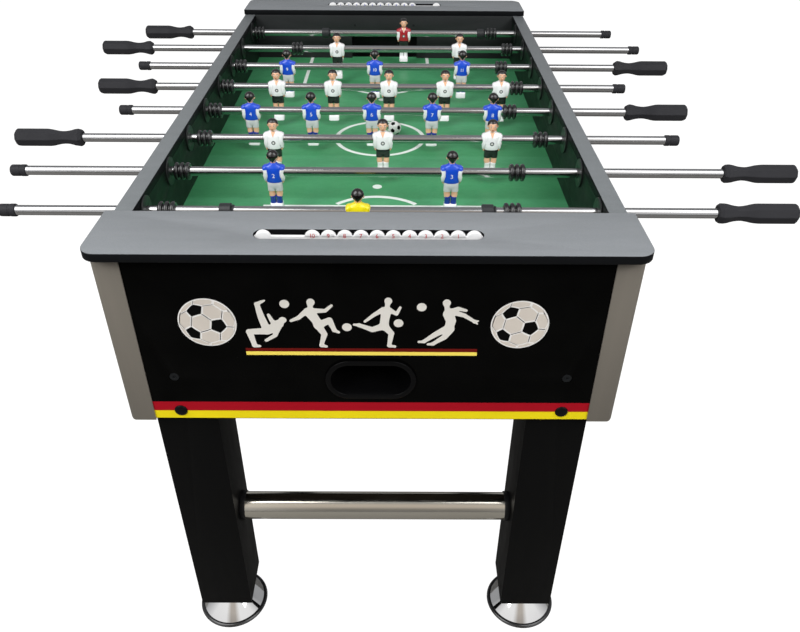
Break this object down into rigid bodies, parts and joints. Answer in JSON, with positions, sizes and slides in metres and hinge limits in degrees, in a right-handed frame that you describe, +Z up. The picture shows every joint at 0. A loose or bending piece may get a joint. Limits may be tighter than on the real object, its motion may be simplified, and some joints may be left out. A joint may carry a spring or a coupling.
{
  "type": "foosball table",
  "caption": "Free-standing table football game: men on sliding, spinning rods over a walled playfield, with goals, scorers and levelling feet.",
  "frame": {"origin": "on the floor, below the middle of the table", "axes": "+X along the rods, +Y along the table from the near goal to the far one, +Z up"},
  "size_m": [1.4125, 1.42, 0.8849],
  "materials": {
    "black_board": "black laminate on particle board",
    "gloss_black_board": "glossy black laminate with printed decoration",
    "grey_laminate": "fine-grained charcoal laminate, satin",
    "inner_wall": "dark laminate, satin",
    "playfield": "printed green field with white lines, satin",
    "silver_trim": "satin silver-grey",
    "leg_black": "black laminate, satin",
    "foot_chrome": "polished",
    "tube_chrome": "polished, warm",
    "black_plastic": "moulded",
    "bearing_plastic": "moulded nylon",
    "rubber": "matt black rubber",
    "goal_plastic": "moulded",
    "return_plastic": "glossy moulded",
    "white_plastic": "moulded",
    "tab_plastic": "moulded, printed digits",
    "bolt_black": "black",
    "ball_plastic": "printed with black panels",
    "rod_steel": "chromed steel",
    "handle_plastic": "moulded, satin",
    "keeper_yellow": "painted",
    "keeper_red": "painted",
    "team_blue": "painted",
    "team_white": "painted"
  },
  "bodies": {
    "cabinet": {"side_panel_left": "black_board", "side_panel_right": "black_board", "side_rails": "grey_laminate", "end_panel_near": "gloss_black_board", "end_panel_far": "gloss_black_board", "goal_walls": "inner_wall", "playfield": "playfield", "top_board_near": "grey_laminate", "top_board_far": "grey_laminate", "corner_trims": "silver_trim", "legs_near": "leg_black", "legs_far": "leg_black", "stretcher_tubes": "tube_chrome", "stretcher_cups": "black_plastic", "rod_bearings": "bearing_plastic", "wall_bumpers": "rubber", "goal_boxes": "goal_plastic", "ball_return_cups": "return_plastic", "score_bars": "white_plastic", "leg_bolts": "bolt_black", "panel_screws": "bolt_black"},
    "rod_1_slide": {"bumper_1": "rubber"},
    "rod_1_turn": {"rod_1": "rod_steel", "players_1": "keeper_yellow", "handle_1": "handle_plastic"},
    "rod_2_slide": {"bumper_2": "rubber"},
    "rod_2_turn": {"rod_2": "rod_steel", "players_2": "team_blue", "handle_2": "handle_plastic"},
    "rod_3_slide": {"bumper_3": "rubber"},
    "rod_3_turn": {"rod_3": "rod_steel", "players_3": "team_white", "handle_3": "handle_plastic"},
    "rod_4_slide": {"bumper_4": "rubber"},
    "rod_4_turn": {"rod_4": "rod_steel", "players_4": "team_blue", "handle_4": "handle_plastic"},
    "rod_5_slide": {"bumper_5": "rubber"},
    "rod_5_turn": {"rod_5": "rod_steel", "players_5": "team_white", "handle_5": "handle_plastic"},
    "rod_6_slide": {"bumper_6": "rubber"},
    "rod_6_turn": {"rod_6": "rod_steel", "players_6": "team_blue", "handle_6": "handle_plastic"},
    "rod_7_slide": {"bumper_7": "rubber"},
    "rod_7_turn": {"rod_7": "rod_steel", "players_7": "team_white", "handle_7": "handle_plastic"},
    "rod_8_slide": {"bumper_8": "rubber"},
    "rod_8_turn": {"rod_8": "rod_steel", "players_8": "keeper_red", "handle_8": "handle_plastic"},
    "foot_near_left": {"foot_near_left": "foot_chrome"},
    "foot_near_right": {"foot_near_right": "foot_chrome"},
    "foot_far_left": {"foot_far_left": "foot_chrome"},
    "foot_far_right": {"foot_far_right": "foot_chrome"},
    "score_near": {"score_tabs_near": "tab_plastic"},
    "score_far": {"score_tabs_far": "tab_plastic"},
    "ball": {"ball": "ball_plastic"}
  },
  "joints": [
    {"name": "rod_1_push", "type": "slide", "parent": "cabinet", "child": "rod_1_slide", "axis": [1, 0, 0], "range_m": [-0.066, 0.116]},
    {"name": "rod_1_spin", "type": "hinge", "parent": "rod_1_slide", "child": "rod_1_turn", "pos_m": [0, -0.511, 0.84], "axis": [1, 0, 0], "continuous": true},
    {"name": "rod_2_push", "type": "slide", "parent": "cabinet", "child": "rod_2_slide", "axis": [1, 0, 0], "range_m": [-0.12, 0.09]},
    {"name": "rod_2_spin", "type": "hinge", "parent": "rod_2_slide", "child": "rod_2_turn", "pos_m": [0, -0.365, 0.84], "axis": [1, 0, 0], "continuous": true},
    {"name": "rod_3_push", "type": "slide", "parent": "cabinet", "child": "rod_3_slide", "axis": [1, 0, 0], "range_m": [-0.093, 0.028]},
    {"name": "rod_3_spin", "type": "hinge", "parent": "rod_3_slide", "child": "rod_3_turn", "pos_m": [0, -0.219, 0.84], "axis": [1, 0, 0], "continuous": true},
    {"name": "rod_4_push", "type": "slide", "parent": "cabinet", "child": "rod_4_slide", "axis": [1, 0, 0], "range_m": [-0.037, 0.068]},
    {"name": "rod_4_spin", "type": "hinge", "parent": "rod_4_slide", "child": "rod_4_turn", "pos_m": [0, -0.073, 0.84], "axis": [1, 0, 0], "continuous": true},
    {"name": "rod_5_push", "type": "slide", "parent": "cabinet", "child": "rod_5_slide", "axis": [1, 0, 0], "range_m": [-0.072, 0.035]},
    {"name": "rod_5_spin", "type": "hinge", "parent": "rod_5_slide", "child": "rod_5_turn", "pos_m": [0, 0.073, 0.84], "axis": [1, 0, 0], "continuous": true},
    {"name": "rod_6_push", "type": "slide", "parent": "cabinet", "child": "rod_6_slide", "axis": [1, 0, 0], "range_m": [-0.073, 0.053]},
    {"name": "rod_6_spin", "type": "hinge", "parent": "rod_6_slide", "child": "rod_6_turn", "pos_m": [0, 0.219, 0.84], "axis": [1, 0, 0], "continuous": true},
    {"name": "rod_7_push", "type": "slide", "parent": "cabinet", "child": "rod_7_slide", "axis": [1, 0, 0], "range_m": [-0.119, 0.084]},
    {"name": "rod_7_spin", "type": "hinge", "parent": "rod_7_slide", "child": "rod_7_turn", "pos_m": [0, 0.365, 0.84], "axis": [1, 0, 0], "continuous": true},
    {"name": "rod_8_push", "type": "slide", "parent": "cabinet", "child": "rod_8_slide", "axis": [1, 0, 0], "range_m": [-0.151, 0.047]},
    {"name": "rod_8_spin", "type": "hinge", "parent": "rod_8_slide", "child": "rod_8_turn", "pos_m": [0, 0.511, 0.84], "axis": [1, 0, 0], "continuous": true},
    {"name": "foot_near_left_screw", "type": "slide", "parent": "cabinet", "child": "foot_near_left", "axis": [0, 0, -1], "range_m": [0, 0.015]},
    {"name": "foot_near_right_screw", "type": "slide", "parent": "cabinet", "child": "foot_near_right", "axis": [0, 0, -1], "range_m": [0, 0.015]},
    {"name": "foot_far_left_screw", "type": "slide", "parent": "cabinet", "child": "foot_far_left", "axis": [0, 0, -1], "range_m": [0, 0.015]},
    {"name": "foot_far_right_screw", "type": "slide", "parent": "cabinet", "child": "foot_far_right", "axis": [0, 0, -1], "range_m": [0, 0.015]},
    {"name": "score_near_slide", "type": "slide", "parent": "cabinet", "child": "score_near", "axis": [-1, 0, 0], "range_m": [0, 0.044]},
    {"name": "score_far_slide", "type": "slide", "parent": "cabinet", "child": "score_far", "axis": [1, 0, 0], "range_m": [0, 0.044]},
    {"name": "ball_lift", "type": "slide", "parent": "cabinet", "child": "ball", "axis": [0, 0, 1], "range_m": [0, 0.25]}
  ]
}
